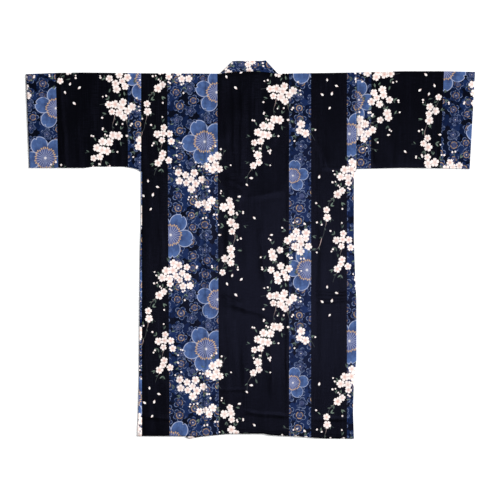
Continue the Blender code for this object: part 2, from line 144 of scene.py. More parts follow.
BACK_FOLDS = (
    Fold(-128, 535, -130, 90, 3.2, 10, 20),
    Fold(-129, 300, -130, -300, 3.8, 11, 24),
    Fold(-131, -230, -128, -570, 3.2, 10, 22),
    Fold(113, 380, 110, -240, 1.5, 15, 8),
    Fold(110, -160, 107, -500, 1.8, 8, 10),
    Fold(176, 366, 234, 226, 2.1, 22, 34),
    Fold(-92, 515, -66, 300, 2, 36, 30),
    Fold(-120, 214, -10, 146, 1.9, 26, 40),
    Fold(-20, 152, 108, 170, 1.3, 16, 44),
    Fold(50, 490, 76, 290, 1.7, 26, 24),
    Fold(-96, -150, 70, -196, 2, 20, 46),
    Fold(28, 90, 46, -120, 1.6, 24, 30),
    Fold(-66, 90, -56, -110, 1.5, 28, 24),
    Fold(60, -230, 64, -450, 1.3, 30, 30),
    Fold(-24, -240, -18, -420, 0.5, 14, 18),
    Fold(-52, 505, -44, 230, 1.6, 12, 17),
    Fold(-34, 512, -22, 360, 1.2, 9, 11),
    Fold(-18, 500, -30, 190, 1.8, 11, 16),
    Fold(2, 512, 6, 300, 1.3, 9, 11),
    Fold(20, 480, 8, 250, 1.6, 10, 14),
    Fold(38, 505, 52, 330, 1.3, 10, 15),
    Fold(-318, 236, -258, 238, 0.9, 6, 9),
    Fold(196, 238, 272, 234, 0.9, 5, 8),
    Fold(-76, 208, -16, 178, 1.1, 7, 9),
    Fold(-322, -142, -232, -144, 0.9, 6, 9),
    Fold(-92, -126, -20, -158, 1.3, 7, 9),
    Fold(172, -124, 298, -129, 2.3, 8, 7),
    Fold(178, -147, 292, -150, 2, 8, 7),
    Fold(-100, -408, 8, -411, 1.2, 7, 8),
    Fold(-335, -488, -215, -492, 2.6, 9, 9),
    Fold(-30, -474, 122, -484, 2, 7, 9),
    Fold(168, -494, 304, -491, 1.6, 7, 9),
    Fold(-222, 420, -228, 250, 0.5, 8, 14),
    Fold(-262, 120, -258, -90, 0.6, 12, 10),
    Fold(208, 470, 220, 300, 0.6, 12, 9),
    Fold(196, 60, 192, -110, 0.4, 9, 14),
    Fold(258, 10, 250, -100, 0.6, 9, 10),
    Fold(-200, -240, -206, -420, 0.6, 12, 9),
    Fold(234, -210, 238, -430, 0.4, 10, 16),
)
LEFT_SLEEVE_FOLDS = (
    Fold(-556, 525, -549, 370, 1.8, 18, 9),
    Fold(-551, 450, -540, 220, 2.4, 21, 10),
    Fold(-470, 500, -462, 360, 0.6, 9, 12),
    Fold(-430, 480, -446, 290, 0.7, 12, 14),
    Fold(-380, 420, -372, 250, 0.6, 10, 12),
    Fold(-600, 330, -596, 240, 0.5, 9, 9),
    Fold(-350, 262, -322, 240, 0.8, 6, 8),
)
RIGHT_SLEEVE_FOLDS = (
    Fold(534, 535, 538, 370, 1.8, 6, 28),
    Fold(536, 440, 543, 220, 2.4, 6, 30),
    Fold(353, 330, 355, 232, 1.5, 5, 10),
    Fold(420, 330, 408, 225, 0.8, 9, 12),
    Fold(470, 500, 460, 330, 0.6, 9, 12),
    Fold(372, 500, 380, 380, 0.5, 8, 12),
    Fold(600, 470, 606, 300, 0.5, 9, 12),
    Fold(314, 262, 344, 250, 0.7, 6, 8),
)
FRONT_FOLDS = (
    Fold(-240, 460, -232, 160, 0.35, 9, 14),
    Fold(-120, 180, -126, -420, 0.45, 8, 22),
    Fold(-280, -120, -180, -130, 0.35, 6, 8),
    Fold(-60, 40, -30, -330, 0.35, 12, 9),
    Fold(230, 470, 222, 200, 0.35, 12, 9),
    Fold(170, 90, 176, -460, 0.45, 20, 8),
    Fold(210, -300, 290, -310, 0.35, 6, 8),
    Fold(260, 120, 252, -180, 0.35, 9, 12),
    Fold(-250, -470, -160, -476, 0.35, 6, 6),
    Fold(80, -480, 180, -486, 0.35, 6, 6),
)

# The printed cloth, charted once. It repeats along its length, and beside itself with a drop.
REPEAT_ACROSS = 521.0
REPEAT_ALONG = 604.4
REPEAT_DROP = 309.5
Stripe = namedtuple("Stripe", "start end")
BLUE_STRIPES = (Stripe(0, 145), Stripe(352, 416))

# A spray is a cluster of small pale blossoms, stretched along its lean, in degrees from across
Spray = namedtuple("Spray", "u v blossoms lean")
SPRAYS = (
    Spray(-22, 41, 2, 60), Spray(-63, 96, 2, 110), Spray(48, 17, 2, 0),
    Spray(-7, 178, 6, 70), Spray(-13, 251, 4, 20), Spray(60, 309, 9, 15),
    Spray(133, 266, 6, 80), Spray(107, 382, 4, 0), Spray(174, 385, 4, 20),
    Spray(191, 447, 3, 0), Spray(177, 531, 4, 110), Spray(156, 581, 1, 0),
    Spray(22, 581, 12, 150), Spray(328, 56, 9, 10), Spray(311, 137, 3, 120),
    Spray(270, 181, 6, 120), Spray(258, 257, 3, 90), Spray(387, 161, 3, 20),
    Spray(381, 485, 10, 30), Spray(311, 520, 3, 0), Spray(328, 578, 7, 10),
)

# A twig bends from one place to another; bow is how far its middle stands off the straight line
Twig = namedtuple("Twig", "u0 v0 u1 v1 bow")
TWIGS = (
    Twig(-16, 30, -63, 96, 8), Twig(-63, 96, -74, 170, -6),
    Twig(-74, 170, -112, 208, -12), Twig(-7, 178, -13, 251, 9),
    Twig(-13, 251, -38, 292, 5), Twig(60, 309, 107, 382, 10),
    Twig(107, 382, 174, 385, -8), Twig(174, 385, 191, 447, -6),
    Twig(191, 447, 177, 531, -8), Twig(177, 531, 156, 581, 5),
    Twig(133, 266, 162, 224, 7), Twig(133, 266, 150, 310, 6),
    Twig(328, 56, 352, 142, -10), Twig(322, 60, 311, 137, 8),
    Twig(311, 137, 270, 181, 6), Twig(270, 181, 258, 257, -6),
    Twig(258, 257, 228, 316, 6), Twig(328, 56, 276, 44, 5),
    Twig(381, 485, 311, 520, -6), Twig(311, 520, 328, 578, 8),
    Twig(381, 470, 338, 428, 8), Twig(381, 485, 420, 510, 8),
    Twig(387, 161, 424, 186, -5), Twig(22, 581, -30, 590, 6),
    Twig(22, 581, -12, 640, -8),
)

# Large blue blossoms in the blue stripes, and single petals that drift over the black
Place = namedtuple("Place", "u v size turn")
LARGE_BLOSSOMS = (
    Place(108, 198, 67, -42), Place(143, 54, 62, -20), Place(7, 470, 67, -58),
    Place(404, 572, 64, -30), Place(363, 297, 46, -8),
)
LOOSE_PETALS = (
    Point(171, 9), Point(197, 41), Point(296, 231), Point(241, 304),
    Point(229, 324), Point(-30, 330), Point(-44, 352), Point(-58, 312),
    Point(186, 588), Point(212, 600), Point(250, 420), Point(448, 60),
    Point(470, 100), Point(150, 470), Point(440, 300), Point(300, 470),
)

# Where each piece lies on the chart, across and along. The right sleeve's print is turned round.
BACK_CHART = Point(239.4, 513.9)
BACK_CHART_SHIFT = 3.6      # the print on the back's left half stands this far off at the neck
BACK_CHART_SLANT = 0.0065   # and moves back past it by this share of the way down
FRONT_LEFT_CHART = 188.0
HIDDEN_TOP = 515.0
LEFT_SLEEVE_CHART = Point(710.0, 48.0)
RIGHT_SLEEVE_CHART = Point(703.9, 654.0)

SEED = 7

HEM_STITCHES = 11.0         # from a hem or a cuff in to its line of stitches
STITCH_STEP = 0.0042
CREASE_LEFT = -150.0        # finer columns carry the long crease, from here in to the neck
CREASE_CELL = 1.6


class RobeSizes(bpy.types.PropertyGroup):
    """Sizes of the cloth that a user may change."""

    cloth_thickness: bpy.props.FloatProperty(
        name="Cloth thickness", description="Thickness of one layer of cotton as it is shown",
        default=0.0009, min=0.0003, max=0.0012, unit="LENGTH")
    cell: bpy.props.FloatProperty(
        name="Finest cell", description="Size of the grid's cells on the sides that show",
        default=0.0043, min=0.002, max=0.02, unit="LENGTH")
    lift: bpy.props.FloatProperty(
        name="Lift", description="How far the cloth stands off the layer below between its folds",
        default=0.0005, min=0.0, max=0.004, unit="LENGTH")
    fold_height: bpy.props.FloatProperty(
        name="Fold height", description="Raises or flattens every fold",
        default=1.0, min=0.0, max=1.5, subtype="FACTOR")
    thread: bpy.props.FloatProperty(
        name="Thread", description="Distance from one thread of the weave to the next",
        default=0.0011, min=0.0003, max=0.004, unit="LENGTH")
    small_blossom: bpy.props.FloatProperty(
        name="Small blue blossom", description="From a small blue blossom's middle to its petal tips",
        default=0.0195, min=0.005, max=0.05, unit="LENGTH")
    pale_blossom: bpy.props.FloatProperty(
        name="Pale blossom", description="From a pale blossom's middle to its petal tips",
        default=0.0124, min=0.004, max=0.03, unit="LENGTH")


def colour(name, description, red, green, blue):
    """A colour of the cloth's print or ground, as linear light."""
    return bpy.props.FloatVectorProperty(
        name=name, description=description, default=(red, green, blue), size=3, min=0.0, max=1.0,
        subtype="COLOR")


class RobeColours(bpy.types.PropertyGroup):
    """Dyes of the printed cotton."""

    black: colour("Black ground", "Black stripes", 0.0010, 0.0010, 0.0013)
    # Partly painted sheen, partly wear: a lighter bluish black for the raised threads, standing in for the
    # light they catch
    sheen_and_wear_black: colour("Painted sheen and worn black", "Black where threads stand up and catch light",
                       0.0060, 0.0062, 0.0120)
    ink: colour("Ink", "Gaps between the blue blossoms", 0.0010, 0.0018, 0.0055)
    navy: colour("Navy", "Hearts of the blue petals", 0.0024, 0.0080, 0.0340)
    blue: colour("Blue", "Tips of the small blue petals", 0.0078, 0.0200, 0.0740)
    sky: colour("Sky blue", "Outlines of the small blue petals", 0.1700, 0.2100, 0.3300)
    deep: colour("Large blossom, deep", "Large petals near their hearts", 0.0240, 0.0420, 0.1200)
    bright: colour("Large blossom, bright", "Large petals near their tips", 0.0640, 0.1150, 0.2700)
    violet: colour("Violet", "Inside the rings of beads", 0.0700, 0.0840, 0.2000)
    ice: colour("Ice blue", "Outlines of the large petals", 0.4400, 0.4800, 0.6400)
    gold: colour("Gold", "Beads and rings", 0.5600, 0.3600, 0.1800)
    cream: colour("Cream", "Pale petals", 0.8600, 0.8000, 0.7700)
    peach: colour("Peach", "Pale petals near their hearts", 0.6900, 0.5000, 0.4400)
    rose: colour("Rose", "Hearts of the pale blossoms", 0.5800, 0.2600, 0.2400)
    leaf: colour("Leaf green", "Leaves", 0.1500, 0.2000, 0.1550)
    shade_leaf: colour("Shaded leaf", "Leaves and twigs in the shade", 0.0360, 0.0500, 0.0440)
    stem: colour("Stem", "Twigs beside the blossoms", 0.5800, 0.4200, 0.4000)
    far_stem: colour("Far stem", "Twigs away from the blossoms", 0.0620, 0.0700, 0.0680)


def sizes():
    return bpy.context.scene.robe_sizes


# Shapes

def ramp(value, start, end):
    """0 before start, 1 past end and a smooth S between: 3 t squared less 2 t cubed."""
    t = np.clip((np.asarray(value, dtype=float) - start) / (end - start), 0.0, 1.0)
    return t * t * (3.0 - 2.0 * t)


def shares(count):
    """Even shares of the way, from 0 to 1."""
    return np.linspace(0.0, 1.0, count)


def off_ends(share, edge):
    """0 at both ends of the way and 1 between, with a smooth S over an edge at each."""
    return ramp(share, 0.0, edge) * ramp(share, 1.0, 1.0 - edge)


def along(line, at):
    """Height of a line drawn through points, at a place across."""
    return np.interp(at, [p.x for p in line], [p.y for p in line])


def across(line, at):
    """Place across of a line drawn through points, at a height."""
    return np.interp(at, [p.y for p in line], [p.x for p in line])


def places(step, *knots):
    """Even places no further apart than a step, through each knot in turn."""
    parts = [np.linspace(a, b, 1 + int(np.ceil(abs(b - a) / step)))[:-1]
             for a, b in zip(knots, knots[1:])]
    return np.concatenate(parts + [np.array(knots[-1:])])


def soft_noise(x, y, wide, long, seed):
    """Smooth random numbers from -1 to 1: a lattice of random numbers blended by an S-curve."""
    lattice = np.random.default_rng(SEED * 1000 + seed).uniform(-1.0, 1.0, (61, 61))
    x, y = np.broadcast_arrays(x / wide, y / long)
    column, row = np.floor(x).astype(int), np.floor(y).astype(int)
    s, t = ramp(x - column, 0.0, 1.0), ramp(y - row, 0.0, 1.0)
    upper = lattice[row % 61, column % 61] * (1 - s) + lattice[row % 61, (column + 1) % 61] * s
    row = row + 1
    lower = lattice[row % 61, column % 61] * (1 - s) + lattice[row % 61, (column + 1) % 61] * s
    return upper * (1 - t) + lower * t


def folds(x, y, table):
    """Height of the folds, added up.

    Each is its height times the square of one less its distance from the fold's line over its
    reach, times an S-curve at its two ends. Its line and its height vary by slow sines.
    """
    height = np.zeros(np.broadcast(x, y).shape)
    for number, fold in enumerate(table):
        run = np.array((fold.x1 - fold.x0, fold.y1 - fold.y0))
        length = np.hypot(*run)
        t = ((x - fold.x0) * run[0] + (y - fold.y0) * run[1]) / length ** 2
        lying = abs(run[0]) > abs(run[1])
        away = y - fold.y0 - t * run[1] if lying else x - fold.x0 - t * run[0]
        way = t * length
        away = away + 1.8 * np.sin(way / 37.0 + number) + 0.9 * np.sin(way / 13.0 + 2 * number)
        reach = np.where(away < 0.0, fold.before, fold.after)
        side = np.clip(1.0 - np.abs(away) / reach, 0.0, 1.0) ** 2
        uneven = 0.8 + 0.2 * np.sin(way / 23.0 + 3 * number)
        height += fold.height * side * uneven * ramp(t, 0.0, 0.25) * ramp(t, 1.0, 0.75)
    return height * sizes().fold_height


def relief(x, y, table, fade, seed):
    """Height of a cloth over the layer below: its lift with soft streaks, and its folds."""
    streaks = 0.30 * soft_noise(x + 0.06 * y, y, 13.0, 140.0, seed)
    streaks = streaks + 0.34 * soft_noise(x, y, 40.0, 170.0, seed + 1)
    streaks = streaks + 0.80 * soft_noise(x, y, 95.0, 85.0, seed + 2)
    height = sizes().lift / MM + streaks + folds(x, y, table)
    return np.maximum(height, 0.0) * fade


def inner_front_level(x, y):
    """Middle of the inner front's cloth: on the surface at its side, over the outer front inside."""
    edge = NECK_CENTRE + FRONT_OVERLAP + STEP_CLEAR
    over = ramp(x, edge + STEP_RUN, edge) * ramp(y, NECK_STEP_HIGH, NECK_STEP_LOW)
    return FLOOR_LEVEL + CLOTH_LAYER * over


def back_level(x, y):
    """Middle of the back's cloth over one layer, or over two where the fronts overlap."""
    left = NECK_CENTRE - FRONT_OVERLAP - STEP_CLEAR
    right = NECK_CENTRE + FRONT_OVERLAP + STEP_CLEAR
    over_both = ramp(x, left - STEP_RUN, left) * ramp(x, right + STEP_RUN, right)
    return SECOND_LEVEL + CLOTH_LAYER * over_both * ramp(y, NECK_STEP_HIGH, NECK_STEP_LOW)


def band_edge(y, side, inner):
    """Place across of a front band's edge at a height: upright at the neck, then slanting."""
    half = NECK_HALF if inner else NECK_HALF - BAND_WIDTH
    level_width = BAND_LEVEL_WIDTH if inner else 0.0
    reach = FRONT_OVERLAP - level_width - BAND_SLOPE * (np.asarray(y, dtype=float) - BAND_END)
    return NECK_CENTRE + side * np.maximum(-half, reach)


def neck_line(x):
    """The back's neck seam: a shallow arch, highest at its middle by a square law."""
    across_neck = (np.asarray(x, dtype=float) - NECK_CENTRE) / NECK_HALF
    return NECK_EDGE + NECK_ARCH * (1.0 - across_neck ** 2)


def turn_under(count=FOLD_STEPS):
    """Reach, rise and length of the points inside a half turn, from the upper layer to the lower."""
    angles = np.pi * np.arange(1, count) / count
    return FOLD_RADIUS * np.sin(angles), FOLD_RADIUS * np.cos(angles), FOLD_RADIUS * angles


# The print's chart

Stamps = namedtuple("Stamps", "u v turn size kind")


def stamps(rows):
    return Stamps(*np.array(rows, dtype=float).T)


def offset(u, v, other_u, other_v):
    """From one place of the cloth to the nearest repeat of another."""
    du = u - other_u
    repeats = np.round(du / REPEAT_ACROSS)
    dv = v - other_v - repeats * REPEAT_DROP
    return du - repeats * REPEAT_ACROSS, dv - REPEAT_ALONG * np.round(dv / REPEAT_ALONG)


def in_layers(found, count, clear):
    """Deals stamps out to layers in which none comes nearer than clear to another."""
    layers = [[] for _ in range(count)]
    for row in found:
        for layer in layers:
            if all(np.hypot(*offset(row[0], row[1], other[0], other[1])) > clear for other in layer):
                layer.append(row)
                break
    return [stamps(layer) if layer else None for layer in layers]


def blue_blossoms(across, rows, size, seed):
    """Blue blossoms on a shaken honeycomb over the blue stripes: a step across, and rows a repeat."""
    rng = np.random.default_rng(SEED + seed)
    step = REPEAT_ALONG / rows
    found = []
    for stripe in BLUE_STRIPES:
        for column in range(int(np.ceil((stripe.end - stripe.start + 24.0) / across))):
            for row in range(rows):
                u = stripe.start - 8.0 + across * column + rng.uniform(-0.16, 0.16) * across
                v = step * (row + 0.5 * (column % 2) + rng.uniform(-0.16, 0.16))
                found.append((u, v, rng.uniform(0.0, 2 * np.pi), size * rng.uniform(0.86, 1.04),
                              rng.random()))
    return in_layers([found[i] for i in rng.permutation(len(found))], 3, 2.0 * size)


def spray_blossoms():
    """Places in each spray: a sunflower spiral, shaken, and stretched along the spray's lean."""
    rng = np.random.default_rng(SEED + 1)
    found = []
    for spray in SPRAYS:
        start = rng.uniform(0.0, 2 * np.pi)
        lean = np.radians(spray.lean)
        for number in range(spray.blossoms):
            angle = start + 2.39996 * number
            reach = 11.3 * np.sqrt(number + 0.4 * (spray.blossoms > 1))
            far = 1.16 * reach * np.cos(angle) + rng.uniform(-2.0, 2.0)
            side = 0.90 * reach * np.sin(angle) + rng.uniform(-2.0, 2.0)
            found.append((spray.u + far * np.cos(lean) - side * np.sin(lean),
                          spray.v + far * np.sin(lean) + side * np.cos(lean),
                          rng.uniform(0.0, 2 * np.pi), rng.uniform(0.8, 1.1)))
    return found


def tufts():
    """Round each spray, even but shaken: a tuft's place on its rim, and the way it points."""
    rng = np.random.default_rng(SEED + 2)
    for spray in SPRAYS:
        reach = 8.0 + 10.8 * np.sqrt(spray.blossoms)
        lean = np.radians(spray.lean)
        count = 3 + spray.blossoms // 2
        for number in range(count):
            angle = 2 * np.pi * (number + rng.uniform(-0.3, 0.3)) / count
            far, side = 1.12 * np.cos(angle) * reach, 0.90 * np.sin(angle) * reach
            outward = complex(far, side) * np.exp(1j * lean)
            yield spray.u + outward.real, spray.v + outward.imag, np.angle(outward)


def sprigs():
    """Leaves (kind 0, shaded to 0.4), buds (1) and loose petals (2) round sprays and along twigs."""
    rng = np.random.default_rng(SEED + 4)
    found = []
    for u, v, way in tufts():
        for spread in rng.permutation((-0.7, 0.1, 0.8))[:rng.integers(1, 3)]:
            size = rng.uniform(4.6, 6.6)
            turn = way + spread + rng.uniform(-0.2, 0.2)
            found.append((u + size * np.cos(turn), v + size * np.sin(turn), turn, size,
                          rng.uniform(0.0, 0.4)))
        for _ in range(rng.integers(0, 3)):
            far, aside = rng.uniform(9.0, 19.0), rng.uniform(-8.0, 8.0)
            found.append((u + far * np.cos(way) - aside * np.sin(way),
                          v + far * np.sin(way) + aside * np.cos(way),
                          way + rng.uniform(-0.6, 0.6), rng.uniform(2.6, 3.9), 1))
    for petal in LOOSE_PETALS:
        found.append((petal.x, petal.y, rng.uniform(0.0, 2 * np.pi), rng.uniform(4.8, 6.2), 2))
    for number, (u, v, turn) in enumerate(zip(*twig_pieces()[:3])):
        if number % 4 == 2:
            way = turn + rng.choice((-0.7, 0.7))
            size = rng.uniform(3.4, 5.2)
            found.append((u + size * np.cos(way), v + size * np.sin(way), way, size, rng.uniform(0.2, 0.4)))
    return in_layers(found, 4, 12.5)


def twig_pieces():
    """Short straight lengths along each twig, a curve through its two ends and its bowed middle.

    A length's kind is its share of the way along the twig.
    """
    found = []
    for twig in TWIGS:
        run = np.array((twig.u1 - twig.u0, twig.v1 - twig.v0))
        length = np.hypot(*run)
        share = shares(2 + int(length / 7.0))
        aside = 4.0 * twig.bow * share * (1.0 - share) + 1.2 * np.sin(share * length / 6.0)
        u = twig.u0 + share * run[0] - aside * run[1] / length
        v = twig.v0 + share * run[1] + aside * run[0] / length
        for a, b in zip(range(len(share)), range(1, len(share))):
            found.append(((u[a] + u[b]) / 2, (v[a] + v[b]) / 2, np.arctan2(v[b] - v[a], u[b] - u[a]), 1.0,
                          share[a]))
    return stamps(found)


def stalks():
    """Thin stalks from each spray's rim out to its buds, in two lengths each."""
    rng = np.random.default_rng(SEED + 5)
    found = []
    for u, v, way in tufts():
        bend = rng.uniform(-0.5, 0.5)
        found.append((u + 2.0 * np.cos(way), v + 2.0 * np.sin(way), way, 1.0, 0))
        found.append((u + 8.0 * np.cos(way + 0.5 * bend), v + 8.0 * np.sin(way + 0.5 * bend),
                      way + bend, 1.0, 0))
    return stamps(found)


@lru_cache(maxsize=1)
def chart(small, pale):
    """Every layer of the print by name, in the order in which it is printed.

    It takes the sizes of a small blue blossom and a pale blossom.
    """
    made = {f"plain_{number}": layer for number, layer in enumerate(blue_blossoms(28.0, 22, small, 0))}
    made.update({f"small_{number}": layer
                 for number, layer in enumerate(blue_blossoms(39.0, 16, small, 10))})
    made["large"] = stamps([(place.u, place.v, np.radians(place.turn), place.size, 0)
                            for place in LARGE_BLOSSOMS])
    made["stalk"] = stalks()
    made["twig"] = twig_pieces()
    made.update({f"sprig_{number}": layer for number, layer in enumerate(sprigs())})
    rng = np.random.default_rng(SEED + 3)
    found = [(u, v, turn, size * pale, rng.random()) for u, v, turn, size in spray_blossoms()]
    made.update({f"pale_{number}": layer for number, layer in enumerate(in_layers(found, 5, 1.95 * pale))})
    return {name: layer for name, layer in made.items() if layer}


FAR_OFF = 90.0


def print_on(mesh, u, v, corners):
    """Gives each face's corners their place on the nearest stamp of each layer of the print.

    A corner's place is its offset from the stamp's middle, turned back by the stamp's turn and
    divided by its size; the third number is the stamp's kind. Faces off every stamp get a far place.
    """
    corner_u, corner_v = u[corners], v[corners]
    face_u, face_v = corner_u.mean(axis=1), corner_v.mean(axis=1)
    half_cell = np.hypot(corner_u[:, 0] - face_u, corner_v[:, 0] - face_v)
    for name, layer in chart(sizes().small_blossom / MM, sizes().pale_blossom / MM).items():
        du, dv = offset(face_u[:, None], face_v[:, None], layer.u, layer.v)
        share = np.hypot(du, dv) / layer.size
        nearest = np.argmin(share, axis=1)
        row = np.arange(len(nearest))
        size = layer.size[nearest]
        room = 7.0 if name in ("twig", "stalk") else 1.1
        off = share[row, nearest] > room + half_cell / size
        du = du[row, nearest][:, None] + corner_u - face_u[:, None]
        dv = dv[row, nearest][:, None] + corner_v - face_v[:, None]
        cos, sin = np.cos(layer.turn[nearest])[:, None], np.sin(layer.turn[nearest])[:, None]
        kind = np.broadcast_to(layer.kind[nearest][:, None], du.shape)
        size = size[:, None]
        place = np.stack(((du * cos + dv * sin) / size, (dv * cos - du * sin) / size, kind), axis=-1)
        place[off] = FAR_OFF
        attribute = mesh.attributes.new(name, "FLOAT_VECTOR", "CORNER")
        attribute.data.foreach_set("vector", place.astype(np.float32).ravel())


# Materials

class Amount:
    """A number in a material: each operator on it adds one Math node."""

    def __init__(self, socket):
        self.socket = socket

    def math(self, operation, *others, flipped=False):
        made = self.socket.id_data.nodes.new("ShaderNodeMath")
        made.operation = operation
        values = (*others, self) if flipped else (self, *others)
        for socket, value in zip(made.inputs, values):
            join(value, socket)
        return Amount(made.outputs[0])

    def operator(operation, flipped=False):
        """A method that adds one Math node; flipped puts the other number first."""
        return lambda self, *other: self.math(operation, *other, flipped=flipped)

    __add__ = __radd__ = operator("ADD")
    __mul__ = __rmul__ = operator("MULTIPLY")
    __sub__ = operator("SUBTRACT")
    __rsub__ = operator("SUBTRACT", flipped=True)
    __truediv__ = operator("DIVIDE")
    __pow__ = operator("POWER")
    __abs__ = operator("ABSOLUTE")
    __lt__ = operator("LESS_THAN")
    __gt__ = operator("GREATER_THAN")


def join(value, socket):
    """Links an amount to a socket, or sets the socket to a plain value."""
    if isinstance(value, Amount):
        socket.id_data.links.new(value.socket, socket)
    else:
        socket.default_value = value


class Recipe:
    """One material's nodes, added in the order in which the cloth is dyed."""

    def __init__(self, name):
        self.material = bpy.data.materials.new(name)
        self.material.use_nodes = True
        self.nodes = self.material.node_tree.nodes
        self.shader = self.nodes["Principled BSDF"]

    def node(self, kind, settings=None, inputs=None):
        """Adds a node of a kind with its settings and inputs, and returns it."""
        made = self.nodes.new("ShaderNode" + kind)
        for name, value in (settings or {}).items():
            setattr(made, name, value)
        for name, value in (inputs or {}).items():
            join(value, made.inputs[name])
        return made

    def place(self, attribute):
        """The three numbers of an attribute."""
        found = self.node("Attribute", {"attribute_name": attribute})
        split = self.node("SeparateXYZ", None, {0: Amount(found.outputs["Vector"])})
        return [Amount(socket) for socket in split.outputs]

    def mix(self, below, above, share):
        """A colour laid over another by a share from 0 to 1."""
        made = self.node("Mix", {"data_type": "RGBA"}, {0: share})
        for socket, value in ((made.inputs[6], below), (made.inputs[7], above)):
            join(value if isinstance(value, Amount) else (*value, 1.0), socket)
        return Amount(made.outputs[2])

    def noise(self, u, v, wide, long, detail=2.0):
        """Noise from 0 to 1 over the cloth, in spots of a width and a length."""
        spot = self.node("CombineXYZ", None, {0: u / wide, 1: v / long})
        made = self.node("TexNoise", {"noise_dimensions": "2D"},
                         {"Vector": Amount(spot.outputs[0]), "Scale": 1.0, "Detail": detail})
        return Amount(made.outputs[0])

    def soft_step(self, amount, low, high):
        """0 at low, 1 at high and a smooth S between; low may be the larger of the two."""
        made = self.node("MapRange", {"interpolation_type": "SMOOTHSTEP"},
                         {0: amount, 1: low, 2: high, 3: 0.0, 4: 1.0})
        return Amount(made.outputs[0])


HALF_WEDGE = np.pi / 5
WEDGE_EDGE = 0.628          # a hair inside the half wedge, where two petals meet


def petals(p, q, ring, radius):
    """Five round petals: distance from the middle, angle, and depth inside the nearest petal.

    The plane is folded into one petal's wedge. The petal is a circle of a radius whose middle lies
    on a ring, and its depth is the radius less the distance from that circle's middle. A disc in
    the middle joins the petals.
    """
    reach = (p * p + q * q) ** 0.5
    angle = q.math("ARCTAN2", p)
    folded = angle.math("WRAP", HALF_WEDGE, -HALF_WEDGE)
    east = reach * folded.math("COSINE") - ring
    north = reach * folded.math("SINE")
    depth = (radius - (east * east + north * north) ** 0.5).math("MAXIMUM", 0.42 - reach)
    return reach, angle, folded, north, depth


def plain_blossom(recipe, ground, name, dyes, blue_share):
    """A blue blossom with no outline, in one of several dark tones."""
    p, q, kind = recipe.place(name)
    mix, step = recipe.mix, recipe.soft_step
    depth = petals(p, q, 0.61, 0.38)[-1]
    inside = step(depth, -0.02, 0.02) * blue_share
    tone = mix(dyes.navy, dyes.blue, step(kind, 0.25, 0.95))
    tone = mix(tone, dyes.ink, step(kind, 0.25, 0.10) * 0.55)
    edge = step(depth, 0.12, 0.0) * 0.35
    return mix(ground, mix(tone, dyes.ink, edge), inside)


def small_blossom(recipe, ground, name, dyes, blue_share):
    """A small blue blossom: outlined petals round a gold ring, or round bare pale filaments."""
    p, q, kind = recipe.place(name)
    mix, step = recipe.mix, recipe.soft_step
    reach, angle, folded, _, depth = petals(p, q, 0.62, 0.37)
    inside = step(depth, -0.02, 0.01) * blue_share
    around = recipe.noise(p + kind * 9.0, q, 0.45, 0.45)
    petal = mix(dyes.navy, dyes.blue, step(reach, 0.35, 0.95) * 0.55 + around * 0.4)
    between = step(WEDGE_EDGE - abs(folded), 0.12, 0.02) * step(reach, 0.45, 0.6)
    petal = mix(petal, dyes.ink, between * 0.8)
    rim = step(depth, 0.115, 0.05) * step(reach, 0.55, 0.75)
    petal = mix(petal, dyes.sky, rim * step(around, 0.34, 0.60) * 0.9)
    within = step(reach, 0.46, 0.38)
    petal = mix(petal, dyes.violet, within * 0.4)
    filaments = step((angle * 11.0).math("COSINE"), 0.2, 0.9) * step(abs(reach - 0.33), 0.15, 0.07)
    petal = mix(petal, dyes.sky, filaments * step(around, 0.38, 0.55) * 0.6)
    ringed = kind < 0.6
    ring = step(abs(reach - 0.48 + 0.02 * (angle * 9.0).math("SINE")), 0.075, 0.03)
    bold = 0.3 + 0.5 * (kind * 7.0).math("FRACT")
    petal = mix(petal, dyes.gold, ring * ringed * step(around, 0.34, 0.60) * bold)
    loop = step(abs(depth - 0.22), 0.05, 0.02) * (1.0 - ringed) * step(reach, 0.2, 0.4)
    petal = mix(petal, dyes.sky, loop * step(around, 0.4, 0.55) * 0.5)
    petal = mix(petal, dyes.cream, step(reach, 0.13, 0.04) * (kind * 5.0).math("FRACT") * 0.8)
    return mix(ground, petal, inside)


def large_blossom(recipe, ground, dyes, blue_share):
    """A large blue blossom: notched mottled petals, and filaments in a ragged ring of gold beads."""
    p, q, _ = recipe.place("large")
    mix, step = recipe.mix, recipe.soft_step
    reach, angle, folded, north, depth = petals(p, q, 0.625, 0.375)
    tip = reach - 0.93 - abs(north) * 1.3
    inside = step(depth, -0.012, 0.006) * step(tip, 0.01, -0.02) * blue_share
    patchy = recipe.noise(p, q, 0.22, 0.22, 3.0)
    tone = step(reach, 0.35, 0.85) * 0.65 + step(patchy, 0.35, 0.65) * 0.45
    petal = mix(dyes.deep, dyes.bright, tone)
    veins = step((folded * 46.0).math("COSINE"), 0.5, 1.0) * step(reach, 0.4, 0.95)
    petal = mix(petal, dyes.deep, veins * 0.20)
    between = step(WEDGE_EDGE - abs(folded), 0.05, 0.01) * step(reach, 0.44, 0.5)
    petal = mix(petal, dyes.navy, between * 0.8)
    rim = step(depth, 0.040, 0.012).math("MAXIMUM", step(tip, -0.06, -0.03))
    petal = mix(petal, dyes.ice, rim * step(patchy, 0.2, 0.5) * 0.75)
    within = step(reach, 0.46, 0.38)
    petal = mix(petal, dyes.violet, within * 0.85)
    filaments = step((angle * 21.0).math("COSINE"), 0.2, 0.9) * within
    petal = mix(petal, dyes.ice, filaments * (0.3 + 0.7 * step(reach, 0.48, 0.10)) * 0.75)
    ragged = 0.435 + 0.020 * (angle * 19.0).math("SINE") + 0.018 * (angle * 7.0).math("COSINE")
    beads = step(abs(reach - ragged), 0.060, 0.018) * step((angle * 31.0).math("COSINE"), -1.0, 0.5)
    petal = mix(petal, dyes.gold, beads * 0.9)
    petal = mix(petal, dyes.cream, step(reach, 0.085, 0.02) * 0.7)
    return mix(ground, petal, inside)


